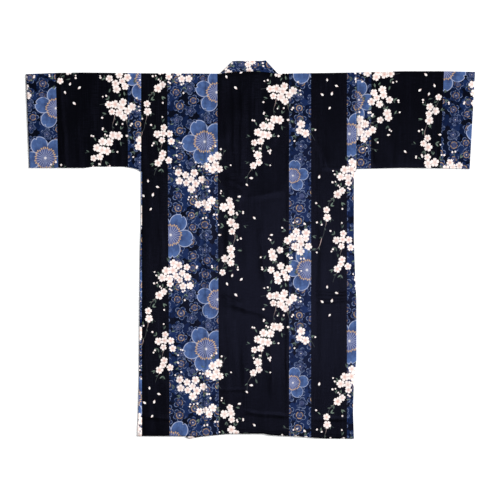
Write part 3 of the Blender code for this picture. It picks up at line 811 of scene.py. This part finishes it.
def pale_blossom(recipe, ground, name, dyes):
    """A pale blossom: five cream petals notched at their tips, peach within and rose at the heart."""
    p, q, kind = recipe.place(name)
    mix, step = recipe.mix, recipe.soft_step
    reach, angle, folded, north, depth = petals(p, q, 0.62, 0.375)
    notch = step(reach - 0.80 - abs(north) * 1.1, 0.0, 0.07)
    inside = step(depth, -0.03, 0.03) * (1.0 - notch)
    within = step(reach, 0.75, 0.2)
    petal = mix(dyes.cream, dyes.peach, within * (0.50 + 0.40 * kind))
    between = step(WEDGE_EDGE - abs(folded), 0.20, 0.02) * step(reach, 0.2, 0.45)
    petal = mix(petal, dyes.rose, between * 0.38)
    petal = mix(petal, dyes.rose, step(depth, 0.07, -0.01) * step(reach, 0.35, 0.5) * 0.45)
    petal = mix(petal, dyes.rose, step(reach, 0.22, 0.08) * (0.35 + 0.4 * kind))
    stamens = step((angle * 10.0).math("COSINE"), 0.4, 0.9) * step(abs(reach - 0.30), 0.09, 0.04)
    petal = mix(petal, dyes.gold, stamens * 0.45)
    return mix(ground, petal, inside)


def sprig(recipe, ground, name, dyes):
    """A leaf, a bud or a loose petal: a lens whose half width is (1 - p squared)(a + b p)."""
    p, q, kind = recipe.place(name)
    mix, step = recipe.mix, recipe.soft_step
    leafy = kind < 0.5
    loose = kind > 1.5
    bud = 1.0 - leafy - loose
    belly = (1.0 - p * p) * ((0.34 - 0.08 * p) * leafy + 0.80 * bud + (0.52 + 0.22 * p) * loose)
    inside = step(belly - abs(q), -0.04, 0.08) * (abs(p) < 1.0)
    leaf = mix(dyes.leaf, dyes.shade_leaf, step(kind, 0.0, 0.4) * 0.8)
    leaf = mix(leaf, dyes.shade_leaf, step(q, 0.02, -0.05) * 0.5)
    bloom = mix(dyes.cream, dyes.rose, step(p, 0.1, -0.9) * 0.5)
    return mix(ground, mix(bloom, leaf, leafy), inside)


def printed_cotton():
    """The cotton: black ground with blue stripes, then its blossoms, twigs and leaves in turn."""
    if "printed_cotton" in bpy.data.materials:
        return bpy.data.materials["printed_cotton"]
    dyes = bpy.context.scene.robe_colours
    recipe = Recipe("printed_cotton")
    u, v, hem = recipe.place("cloth")

    across_repeat = u.math("WRAP", REPEAT_ACROSS * MM, 0.0)
    blue = across_repeat < BLUE_STRIPES[0].end * MM
    blue = blue + (across_repeat > BLUE_STRIPES[1].start * MM) * (across_repeat < BLUE_STRIPES[1].end * MM)
    colours = recipe.mix(dyes.black, dyes.ink, blue)
    for name in chart(sizes().small_blossom / MM, sizes().pale_blossom / MM):
        if name.startswith("plain"):
            colours = plain_blossom(recipe, colours, name, dyes, blue)
        elif name.startswith("small"):
            colours = small_blossom(recipe, colours, name, dyes, blue)
        elif name == "large":
            colours = large_blossom(recipe, colours, dyes, blue)
        elif name == "stalk":
            along_stalk, across_stalk, _ = recipe.place(name)
            drawn = recipe.soft_step(abs(across_stalk), 0.85, 0.35) * (abs(along_stalk) < 4.0)
            colours = recipe.mix(colours, dyes.shade_leaf, drawn)
        elif name == "twig":
            _, across_twig, share = recipe.place(name)
            wood = recipe.mix(dyes.stem, dyes.far_stem, recipe.soft_step(share, 0.1, 0.6))
            drawn = recipe.soft_step(abs(across_twig) + 0.35 * share, 1.15, 0.3)
            colours = recipe.mix(colours, wood, drawn * 0.85)
        elif name.startswith("sprig"):
            colours = sprig(recipe, colours, name, dyes)
        else:
            colours = pale_blossom(recipe, colours, name, dyes)

    slubs = recipe.noise(u, v, 0.030, 0.0026) * 0.5 + recipe.noise(u, v, 0.0028, 0.070) * 0.5
    clouds = recipe.noise(u, v, 0.05, 0.16, 3.0)
    streaks = recipe.noise(u, v, 0.009, 0.16)
    # Painted sheen mixed with wear: in random patches over the raised slubs the black turns lighter and
    # bluer, standing in for threads catching light
    sheen_and_wear = recipe.soft_step(slubs, 0.40, 0.66) * recipe.soft_step(clouds * 0.6 + streaks * 0.4, 0.36, 0.64)
    colours = recipe.mix(colours, dyes.sheen_and_wear_black, sheen_and_wear * 0.35)
    shade = 0.86 + 0.28 * slubs
    tone = recipe.node("CombineXYZ", None, {0: shade, 1: shade, 2: shade})
    shaded = recipe.node("VectorMath", {"operation": "MULTIPLY"}, {0: colours, 1: Amount(tone.outputs[0])})
    join(Amount(shaded.outputs[0]), recipe.shader.inputs["Base Color"])

    pitch = sizes().thread
    warp = (u * (2 * np.pi / pitch)).math("SINE")
    weft = (v * (2 * np.pi / pitch)).math("SINE")
    height = warp * weft * 0.25 + slubs * 0.8
    hem_line = recipe.soft_step(abs(hem - HEM_STITCHES * MM), 0.0011, 0.0003)
    stitch = recipe.soft_step(((u + v) * (2 * np.pi / STITCH_STEP)).math("SINE"), -0.6, 0.2)
    height = height - 6.0 * hem_line * stitch
    bump = recipe.node("Bump", None, {"Strength": 0.35, "Distance": 0.0002, "Height": height})
    join(Amount(bump.outputs[0]), recipe.shader.inputs["Normal"])
    join(0.31 + 0.10 * clouds, recipe.shader.inputs["Roughness"])
    recipe.shader.inputs["Specular IOR Level"].default_value = 0.054
    recipe.shader.inputs["Specular Tint"].default_value = (0.46, 0.49, 1.0, 1.0)
    return recipe.material


# Cloth

Cut = namedtuple("Cut", "width length area")


def lay_cloth(node, x, y, z, u, v, cut, cells=None, hem=900.0):
    """One cut piece as a thin shell on a grid of middle points, [row, column], laid on its solid.

    Rows run down from the collar and columns to +X, so the cells' faces look up. Hem is how far a
    point lies from its hem or cuff.
    """
    x, y, z, u, v, hem = np.broadcast_arrays(x, y, z, u, v, hem)
    rows, columns = x.shape
    cells = np.ones((rows - 1, columns - 1), dtype=bool) if cells is None else cells
    index = np.arange(rows * columns).reshape(rows, columns)
    quads = np.stack((index[1:, :-1], index[1:, 1:], index[:-1, 1:], index[:-1, :-1]), axis=-1)[cells]
    used, corners = np.unique(quads, return_inverse=True)
    corners = corners.reshape(-1, 4)
    points = np.stack((x - BOX_MIDDLE.x, y - BOX_MIDDLE.y, z), axis=-1).reshape(-1, 3)[used] * MM
    u, v, hem = u.ravel()[used], v.ravel()[used], hem.ravel()[used]
    mesh = bpy.data.meshes.new(node + "_cloth")
    mesh.from_pydata(points.tolist(), [], corners.tolist())
    mesh.shade_smooth()
    attribute = mesh.attributes.new("cloth", "FLOAT_VECTOR", "POINT")
    attribute.data.foreach_set("vector", np.stack((u, v, hem), axis=-1).astype(np.float32).ravel() * MM)
    print_on(mesh, u, v, corners)
    mesh.materials.append(printed_cotton())
    piece = bpy.data.objects.new(node + "_cloth", mesh)
    bpy.context.scene.collection.objects.link(piece)
    wall = piece.modifiers.new("thickness", "SOLIDIFY")
    wall.thickness = sizes().cloth_thickness
    wall.offset = 0.0
    wall.use_even_offset = True
    wall.use_quality_normals = True
    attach(piece, "root")
    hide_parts(node)
    return piece


def back_cloth():
    """The back: rows from neck and shoulders to the hem, turned under at shoulders and right side."""
    cell = sizes().cell / MM
    flat_x = np.concatenate((places(cell, ARMHOLE_LEFT, CREASE_LEFT)[:-1],
                             places(CREASE_CELL, CREASE_LEFT, NECK_LEFT)[:-1],
                             places(cell, NECK_LEFT, NECK_RIGHT, ARMHOLE_RIGHT)))
    top, foot = along(SHOULDER_LINE, NECK_CENTRE), along(BACK_HEM, 0.0)
    flat_y = places(cell, top, UNDERARM, SIDE_TURN, foot)
    reach, rise, arc = turn_under()
    turned = len(reach) + 1
    under = flat_y <= SIDE_TURN
    on_shoulder = (flat_x <= NECK_LEFT) | (flat_x >= NECK_RIGHT)

    top_line = np.where(on_shoulder, along(SHOULDER_LINE, flat_x) - FOLD_REACH, neck_line(flat_x))
    y = (flat_y[:, None] + (top_line - top) * ramp(flat_y, 465.0, top)[:, None]
         + (along(BACK_HEM, flat_x) - foot) * ramp(flat_y, -420.0, foot)[:, None])
    left_edge = np.where(under, SIDE_SEAM_LEFT, ARMHOLE_LEFT) + SEAM_GAP / 2
    right_edge = np.where(under, across(RIGHT_SIDE, y[:, -1]) - FOLD_REACH, ARMHOLE_RIGHT - SEAM_GAP / 2)
    x = (flat_x + (left_edge - ARMHOLE_LEFT)[:, None] * ramp(flat_x, -290.0, ARMHOLE_LEFT)
         + (right_edge - ARMHOLE_RIGHT)[:, None] * ramp(flat_x, 270.0, ARMHOLE_RIGHT))
    fade = ramp(x - x[:, :1], 0.0, 12.0) * ramp(x[:, -1:] - x, 0.0, 12.0) * ramp(y[:1] - y, 0.0, 11.0)
    fade = fade * (0.45 + 0.55 * ramp(y - y[-1:], 0.0, 9.0))
    z = back_level(x, y) + relief(x, y, BACK_FOLDS, fade, 1)

    beside_neck = SEAM_GAP * ((flat_x == NECK_RIGHT) * 1.0 - (flat_x == NECK_LEFT))
    level = np.append(-FOLD_RADIUS, rise[::-1])[:, None]
    shoulder_z = np.tile(SECOND_LEVEL - FOLD_RADIUS + level, (1, len(flat_x)))
    x = np.vstack((np.tile(x[0] + beside_neck, (turned, 1)), x))
    down = 514.0 - np.vstack((np.tile(y[0], (turned, 1)), y))
    u = x + BACK_CHART.x + (BACK_CHART_SHIFT - BACK_CHART_SLANT * down) * ramp(x, 0.0, -150.0)
    v = BACK_CHART.y - np.vstack((y[0] + np.append(np.pi * FOLD_RADIUS, arc[::-1])[:, None], y))
    y = np.vstack((y[0] + np.append(0.0, reach[::-1])[:, None], y))
    z = np.vstack((shoulder_z, z))

    side_z = np.tile(SECOND_LEVEL - FOLD_RADIUS + np.append(rise, -FOLD_RADIUS), (len(x), 1))
    u = np.hstack((u, u[:, -1:] + np.append(arc, np.pi * FOLD_RADIUS)))
    v = np.hstack((v, np.tile(v[:, -1:], (1, turned))))
    x = np.hstack((x, x[:, -1:] + np.append(reach, 0.0)))
    y = np.hstack((y, np.tile(y[:, -1:], (1, turned))))
    z = np.hstack((z, side_z))

    cells = np.ones((len(x) - 1, x.shape[1] - 1), dtype=bool)
    cells[:turned, :len(flat_x) - 1] = on_shoulder[:-1] & on_shoulder[1:]
    cells[:, len(flat_x) - 1:] = False
    cells[turned:, len(flat_x) - 1:] = (under[:-1] & under[1:])[:, None]
    lay_cloth("back", x, y, z, u, v, Cut(0.632, 1.073, 0.662), cells,
             y - along(BACK_HEM, x))


def front_left_cloth():
    """The outer front, flat on the surface; its side edge rolls up and over to the back's seam."""
    seam = NECK_CENTRE + FRONT_OVERLAP - GORE_WIDTH
    top = along(SHOULDER_LINE, -200.0) - FOLD_REACH - SEAM_GAP
    flat_y = places(6.0, top, UNDERARM, SIDE_TURN, along(OUTER_FRONT_HEM, 0.0))
    under = flat_y <= SIDE_TURN
    edge = np.where(under, across(LEFT_SIDE, flat_y) + FOLD_REACH, ARMHOLE_LEFT + SEAM_GAP / 2)
    inside = np.minimum(band_edge(flat_y, 1, True) - SEAM_GAP, seam - SEAM_GAP / 2)
    part_way = shares(58)
    flat = edge[:, None] + (inside - edge)[:, None] * part_way
    reach, rise, _ = turn_under()
    seam_end = np.full(len(flat_y), SIDE_SEAM_LEFT - SEAM_GAP / 2)
    start = np.minimum(edge, seam_end - 0.05)
    x = np.hstack((seam_end[:, None], start[:, None], edge[:, None] - reach, flat))
    y = np.tile(flat_y[:, None], (1, x.shape[1]))
    y[0] = along(SHOULDER_LINE, x[0]) - FOLD_REACH - SEAM_GAP
    y[-1] = along(OUTER_FRONT_HEM, x[-1])
    fade = off_ends(part_way, 0.05)
    upward = folds(flat, flat_y[:, None], FRONT_FOLDS) * fade
    level = np.hstack((SECOND_LEVEL, SECOND_LEVEL, SECOND_LEVEL - FOLD_RADIUS + rise))
    z = np.hstack((np.tile(level, (len(flat_y), 1)), FLOOR_LEVEL + upward))
    over = np.hstack((seam_end[:, None] - 2 * edge[:, None], start[:, None] - 2 * edge[:, None],
                      -edge[:, None] - reach[::-1]))
    u = np.hstack((-over, flat)) + FRONT_LEFT_CHART
    cells = np.ones((len(flat_y) - 1, x.shape[1] - 1), dtype=bool)
    cells[:, :2 + len(reach)] = (under[:-1] & under[1:])[:, None]
    lay_cloth("front_left", x, y, z, u, y - HIDDEN_TOP, Cut(0.360, 1.060, 0.354), cells,
             y - along(OUTER_FRONT_HEM, x))


def front_right_cloth():
    """The inner front, from the right side's turned edge in over the outer front."""
    seam = NECK_CENTRE - FRONT_OVERLAP + GORE_WIDTH
    top = along(SHOULDER_LINE, 200.0) - FOLD_REACH - SEAM_GAP
    flat_y = places(6.0, top, UNDERARM, SIDE_TURN, along(INNER_FRONT_HEM, 0.0))
    inside = np.maximum(band_edge(flat_y, -1, True) + SEAM_GAP, seam + SEAM_GAP / 2)
    edge = np.where(flat_y <= SIDE_TURN, across(RIGHT_SIDE, flat_y) - FOLD_REACH, ARMHOLE_RIGHT)
    edge = edge - np.where(flat_y <= SIDE_TURN, SEAM_GAP, SEAM_GAP / 2)
    part_way = shares(58)
    x = inside[:, None] + (edge - inside)[:, None] * part_way
    y = np.tile(flat_y[:, None], (1, x.shape[1]))
    y[0] = along(SHOULDER_LINE, x[0]) - FOLD_REACH - SEAM_GAP
    y[-1] = along(INNER_FRONT_HEM, x[-1])
    fade = off_ends(part_way, 0.05)
    upward = folds(x, y, FRONT_FOLDS) * fade
    lay_cloth("front_right", x, y, inner_front_level(x, y) + upward, x + BACK_CHART.x, y - HIDDEN_TOP,
              Cut(0.350, 1.060, 0.341), None, y - along(INNER_FRONT_HEM, x))


def gore_cloth(node, side, hem, level, cut):
    """A front's overlap gore: from the seam out to the free edge, slanted under the band."""
    columns = places(6.0, FRONT_OVERLAP - GORE_WIDTH + SEAM_GAP / 2, FRONT_OVERLAP - BAND_LEVEL_WIDTH,
                     FRONT_OVERLAP)
    x = NECK_CENTRE + side * columns
    under_band = BAND_END + (FRONT_OVERLAP - BAND_LEVEL_WIDTH - columns) / BAND_SLOPE - 2 * SEAM_GAP
    top = np.maximum(under_band, BAND_END - SEAM_GAP)
    y = top + (along(hem, x) - top) * shares(110)[:, None]
    x = np.tile(x, (len(y), 1))
    if side < 0:
        x, y = x[:, ::-1], y[:, ::-1]
    lay_cloth(node, x, y, level(x, y), 200.0 + side * x, HIDDEN_TOP - y, cut, None,
             y - along(hem, x))


def band_front_cloth(node, side, level):
    """The collar band's run down a front, from the 45 degree fold at the neck to the free edge."""
    flat_y = places(5.0, NECK_EDGE, OUTER_TURN, INNER_TURN, BAND_END)
    inner = band_edge(flat_y, side, True)
    outer = band_edge(flat_y, side, False)
    part_way = shares(9)
    x = inner[:, None] + (outer - inner)[:, None] * part_way
    y = np.tile(flat_y[:, None], (1, len(part_way)))
    y[0] = NECK_EDGE + part_way * BAND_WIDTH - SEAM_GAP
    across_band = part_way * BAND_WIDTH
    if side < 0:
        x, y, across_band = x[:, ::-1], y[:, ::-1], across_band[::-1]
    lay_cloth(node, x, y, level(x, y), 30.0 + across_band, 540.0 - y, Cut(0.038, 0.620, 0.0222))


def band_neck_cloth():
    """The collar band behind the neck, with its 45 degree ends folded onto the front runs.

    Between its seam and its top edge the band swells by a sine, as folded cloth does.
    """
    share = shares(61)
    foot_x = NECK_LEFT + SEAM_GAP + share * (2 * NECK_HALF - 2 * SEAM_GAP)
    foot_y = neck_line(foot_x) + SEAM_GAP
    top_x = BAND_TOP[0].x + share * (BAND_TOP[-1].x - BAND_TOP[0].x)
    top_y = along(BAND_TOP, top_x)
    up = np.linspace(1.0, 0.0, 15)[:, None]
    x = foot_x + (top_x - foot_x) * up
    y = foot_y + (top_y - foot_y) * up
    swell = np.sin(np.pi * np.clip(up, 0.02, 0.98)) ** 0.5 * off_ends(share, 0.06)
    z = SECOND_LEVEL + 0.3 + 0.9 * swell
    lay_cloth("collar_neck", x, y, z, 110.0 + y - 545.0, 384.0 + x, Cut(0.171, 0.038, 0.0043))


def sleeve_cloth(node, armhole, cuff, top, foot, table, chart_place, seed):
    """A sleeve: one cloth round from an underneath seam, over the top fold and under at the foot."""
    cell = sizes().cell / MM
    end = across(cuff, np.mean([p.y for p in cuff]))
    flat_x = places(cell, min(armhole, end), max(armhole, end))
    high = along(top, flat_x) - FOLD_REACH
    low = along(foot, flat_x) + FOLD_REACH
    reach, rise, arc = turn_under()
    turn = np.pi * FOLD_RADIUS
    upper = shares(66)[:, None]
    lower = shares(40)[:, None]
    under_y = low + SLEEVE_SEAM + SEAM_GAP + (high - low - SLEEVE_SEAM - SEAM_GAP) * lower
    upper_y = high + (low - high) * upper
    lap_y = low + SLEEVE_SEAM * shares(4)[:, None]
    y = np.vstack((under_y, high + reach[::-1][:, None], upper_y, low - reach[:, None], lap_y))
    # Length of the cloth down from the top fold, less than nothing underneath
    down = np.vstack((under_y - high - turn, arc[::-1][:, None] * -1.0 + 0 * high,
                      high - upper_y, high - low + arc[:, None], high - low + turn + lap_y - low))
    share = np.abs(flat_x - armhole) / abs(end - armhole)
    x = armhole + share * (across(cuff, y) - armhole)
    inward = np.sign(end - armhole)
    x = x + inward * SEAM_GAP / 2 * ramp(share, 0.1, 0.0)
    fade = off_ends(upper, 0.045) * ramp(share, 0.0, 0.04)
    fade = fade * (0.45 + 0.55 * ramp(share, 1.0, 0.975))
    upper_x = armhole + share * (across(cuff, upper_y) - armhole)
    upper_z = SECOND_LEVEL + relief(upper_x, upper_y, table, fade, seed)
    under_x = armhole + share * (across(cuff, under_y) - armhole)
    dents = np.maximum(0.35 * soft_noise(under_x, under_y, 40.0, 90.0, seed + 3), 0.0)
    under_z = FLOOR_LEVEL + dents * off_ends(lower, 0.1)
    z = np.vstack((under_z, np.tile(SECOND_LEVEL - FOLD_RADIUS + rise[::-1][:, None], (1, len(flat_x))),
                   upper_z, np.tile(SECOND_LEVEL - FOLD_RADIUS + rise[:, None], (1, len(flat_x))),
                   FLOOR_LEVEL + 0 * lap_y))
    u, v = chart_place(flat_x, down)
    lay_cloth(node, x, y, z, u, v, Cut(0.336, 0.580, 0.187), None, np.abs(x - across(cuff, y)))


def on_surface(x, y):
    """Middle of a cloth that lies flat on the surface."""
    return np.full(np.broadcast(x, y).shape, FLOOR_LEVEL)


# Operators

class ROBE_OT_back(bpy.types.Operator):
    """Lays the wide back panel"""
    bl_idname = "robe.back"
    bl_label = "Back"

    def execute(self, context):
        back_cloth()
        return {"FINISHED"}


class ROBE_OT_fronts(bpy.types.Operator):
    """Lays the outer front and the inner front under the back"""
    bl_idname = "robe.fronts"
    bl_label = "Fronts"

    def execute(self, context):
        front_left_cloth()
        front_right_cloth()
        return {"FINISHED"}


class ROBE_OT_gores(bpy.types.Operator):
    """Lays the two overlap gores along the fronts' edges"""
    bl_idname = "robe.gores"
    bl_label = "Overlap gores"

    def execute(self, context):
        gore_cloth("okumi_left", 1, OUTER_FRONT_HEM, on_surface, Cut(0.150, 0.770, 0.0914))
        gore_cloth("okumi_right", -1, INNER_FRONT_HEM, inner_front_level, Cut(0.150, 0.770, 0.092))
        return {"FINISHED"}


class ROBE_OT_collar(bpy.types.Operator):
    """Lays the collar band behind the neck and down both fronts"""
    bl_idname = "robe.collar"
    bl_label = "Collar band"

    def execute(self, context):
        band_front_cloth("collar_left", 1, on_surface)
        band_front_cloth("collar_right", -1, inner_front_level)
        band_neck_cloth()
        return {"FINISHED"}


class ROBE_OT_sleeves(bpy.types.Operator):
    """Lays the two sleeves, each a flat tube folded at its top"""
    bl_idname = "robe.sleeves"
    bl_label = "Sleeves"

    def execute(self, context):
        left, right = LEFT_SLEEVE_CHART, RIGHT_SLEEVE_CHART
        sleeve_cloth("sleeve_left", ARMHOLE_LEFT, CUFF_LEFT, SLEEVE_TOP_LEFT, SLEEVE_FOOT_LEFT,
                     LEFT_SLEEVE_FOLDS, lambda x, down: (x + left.x, down - left.y), 11)
        sleeve_cloth("sleeve_right", ARMHOLE_RIGHT, CUFF_RIGHT, SLEEVE_TOP_RIGHT, SLEEVE_FOOT_RIGHT,
                     RIGHT_SLEEVE_FOLDS, lambda x, down: (right.x - x, right.y - down), 21)
        return {"FINISHED"}


class ROBE_OT_stage(bpy.types.Operator):
    """Adds the pale floor, the soft studio light and the camera above the robe"""
    bl_idname = "robe.stage"
    bl_label = "Stage"

    def execute(self, context):
        scene = context.scene
        half = 3.0
        mesh = bpy.data.meshes.new("surface")
        mesh.from_pydata([(-half, -half, -0.0004), (half, -half, -0.0004), (half, half, -0.0004),
                          (-half, half, -0.0004)], [], [(0, 1, 2, 3)])
        floor = bpy.data.objects.new("surface", mesh)
        scene.collection.objects.link(floor)
        recipe = Recipe("pale_floor")
        recipe.shader.inputs["Base Color"].default_value = (0.92, 0.92, 0.92, 1.0)
        recipe.shader.inputs["Roughness"].default_value = 0.9
        recipe.shader.inputs["Specular IOR Level"].default_value = 0.0
        mesh.materials.append(recipe.material)

        world = bpy.data.worlds.new("studio")
        world.use_nodes = True
        world.node_tree.nodes["Background"].inputs["Color"].default_value = (0.95, 0.97, 1.0, 1.0)
        world.node_tree.nodes["Background"].inputs["Strength"].default_value = 0.27
        scene.world = world

        lamp = bpy.data.lights.new("window", "SUN")
        lamp.energy = 4.5
        lamp.angle = 0.25
        window = bpy.data.objects.new("window", lamp)
        window.rotation_euler = (np.radians(-24.0), np.radians(54.0), 0.0)
        scene.collection.objects.link(window)

        lamp = bpy.data.lights.new("softbox", "AREA")
        lamp.shape = "SQUARE"
        lamp.size = 0.4
        lamp.energy = 22.0
        softbox = bpy.data.objects.new("softbox", lamp)
        softbox.location = (0.24, -0.20, 2.5)
        softbox.rotation_euler = (np.radians(4.6), np.radians(5.5), 0.0)
        softbox.visible_camera = False
        scene.collection.objects.link(softbox)

        lens = bpy.data.cameras.new("camera")
        lens.lens = 135.0
        lens.sensor_width = 36.0
        lens.clip_end = 50.0
        camera = bpy.data.objects.new("camera", lens)
        camera.location = (-0.0015, -0.0013, 5.475)
        scene.collection.objects.link(camera)
        scene.camera = camera
        scene.view_settings.view_transform = "Standard"
        return {"FINISHED"}


class ROBE_PT_panel(bpy.types.Panel):
    """Lists the robe's pieces, sizes and dyes"""
    bl_label = "Yukata robe"
    bl_idname = "ROBE_PT_panel"
    bl_space_type = "VIEW_3D"
    bl_region_type = "UI"
    bl_category = "Robe"

    def draw(self, context):
        for operator in OPERATORS:
            self.layout.operator(operator.bl_idname)
        for group in (context.scene.robe_sizes, context.scene.robe_colours):
            for name in group.__annotations__:
                self.layout.prop(group, name)


OPERATORS = (ROBE_OT_back, ROBE_OT_fronts, ROBE_OT_gores, ROBE_OT_collar, ROBE_OT_sleeves, ROBE_OT_stage)
CLASSES = (RobeSizes, RobeColours, *OPERATORS, ROBE_PT_panel)


def register():
    for cls in CLASSES:
        bpy.utils.register_class(cls)
    bpy.types.Scene.robe_sizes = bpy.props.PointerProperty(type=RobeSizes)
    bpy.types.Scene.robe_colours = bpy.props.PointerProperty(type=RobeColours)


def unregister():
    del bpy.types.Scene.robe_colours
    del bpy.types.Scene.robe_sizes
    for cls in reversed(CLASSES):
        bpy.utils.unregister_class(cls)


def main():
    register()
    bpy.ops.robe.stage()
    bpy.ops.robe.back()
    bpy.ops.robe.fronts()
    bpy.ops.robe.gores()
    bpy.ops.robe.collar()
    bpy.ops.robe.sleeves()


if __name__ == "__main__":
    main()
